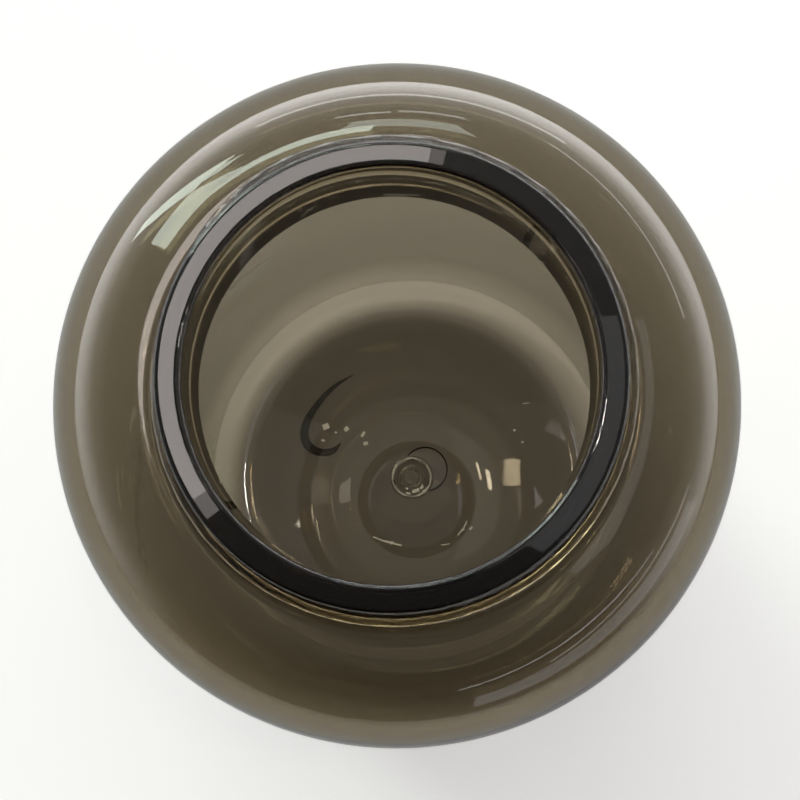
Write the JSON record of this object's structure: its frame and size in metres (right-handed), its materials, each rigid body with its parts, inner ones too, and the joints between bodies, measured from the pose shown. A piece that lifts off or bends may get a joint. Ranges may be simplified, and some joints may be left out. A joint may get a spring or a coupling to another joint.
{
  "type": "centrifuge bottle",
  "caption": "Round-shouldered wide-mouth centrifuge bottle in smoky clear plastic, open, with a short threaded neck and a domed floor on a narrow foot ring.",
  "frame": {"origin": "centre of the foot ring, on the plane the bottle stands on", "axes": "+Z along the bottle's axis, up out of the mouth; +X and +Y across it"},
  "size_m": [0.0618, 0.0618, 0.1245],
  "materials": {
    "smoky_plastic": "clear, smoky olive brown, glossy"
  },
  "bodies": {
    "root": {"bottle": "smoky_plastic"}
  },
  "joints": []
}
